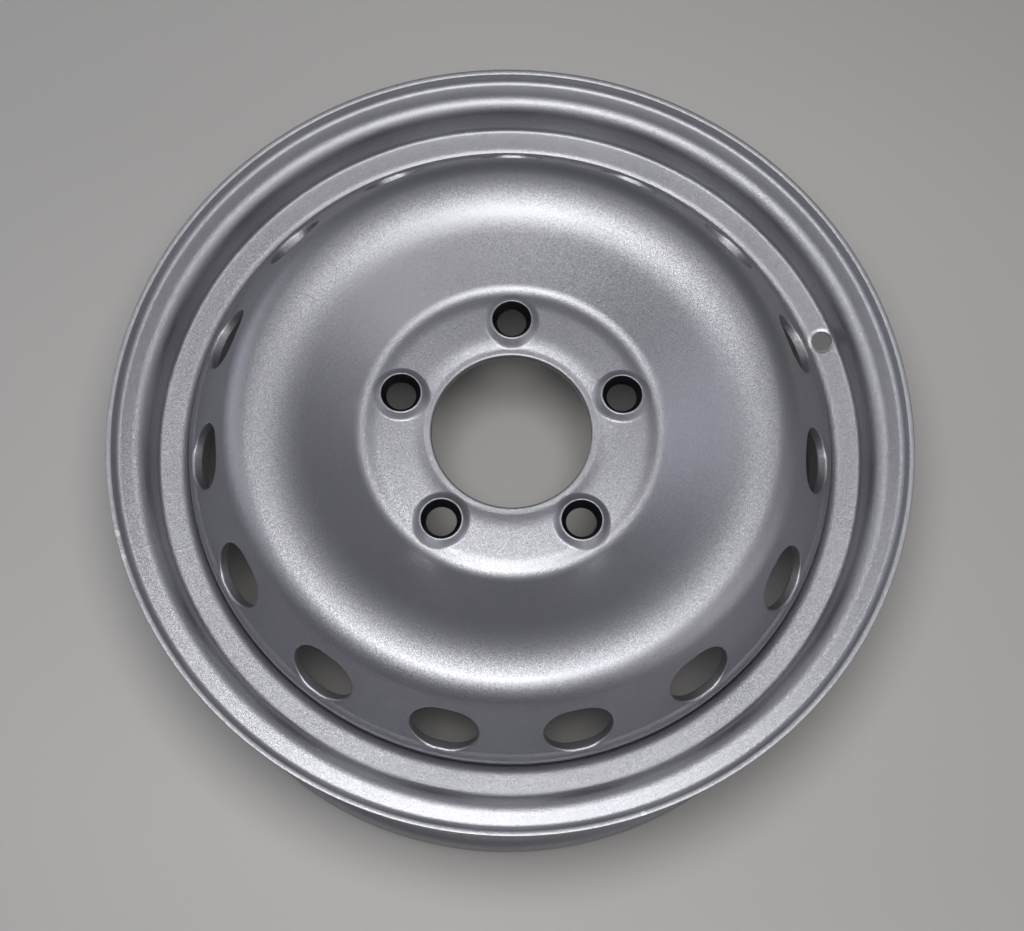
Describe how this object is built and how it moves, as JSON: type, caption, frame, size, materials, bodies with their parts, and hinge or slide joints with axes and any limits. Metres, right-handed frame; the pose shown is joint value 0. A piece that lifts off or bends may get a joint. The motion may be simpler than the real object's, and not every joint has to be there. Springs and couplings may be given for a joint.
{
  "type": "steel wheel rim",
  "caption": "Pressed steel van wheel: a drop-well rim with a domed, vented disc welded inside, a centre bore and conical bolt seats.",
  "frame": {"origin": "centre of the bore in the plane of the hub seat", "axes": "+Z along the wheel's axis towards the street side, +Y towards one bolt hole"},
  "size_m": [0.4402, 0.44, 0.1899],
  "materials": {
    "silver_paint": "metallic silver stove enamel over zinc primer, semi-gloss",
    "painted_weld": "weld runs under the same silver enamel"
  },
  "bodies": {
    "root": {"rim": "silver_paint", "disc": "silver_paint", "weld_beads": "painted_weld"}
  },
  "joints": []
}
